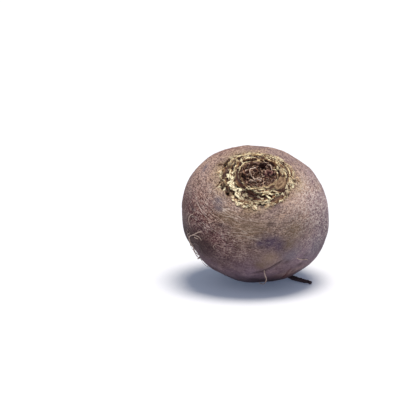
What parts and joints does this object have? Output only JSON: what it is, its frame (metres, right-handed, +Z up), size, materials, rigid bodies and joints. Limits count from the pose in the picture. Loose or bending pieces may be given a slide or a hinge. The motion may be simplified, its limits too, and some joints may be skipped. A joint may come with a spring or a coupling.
{
  "type": "beetroot",
  "caption": "Whole beetroot, a round root vegetable with a scarred leaf crown and a thin bent tail, lying on a small flat spot.",
  "frame": {"origin": "on the small flat spot that the beetroot lies on, under the middle of its weight", "axes": "+Z up from the surface it lies on, -Y the side its crown leans towards, +X the side its tail bends to"},
  "size_m": [0.0739, 0.0721, 0.0659],
  "materials": {
    "root_skin": "dry russet skin, matt, mauve under tan"
  },
  "bodies": {
    "root": {"beetroot": "root_skin"}
  },
  "joints": []
}
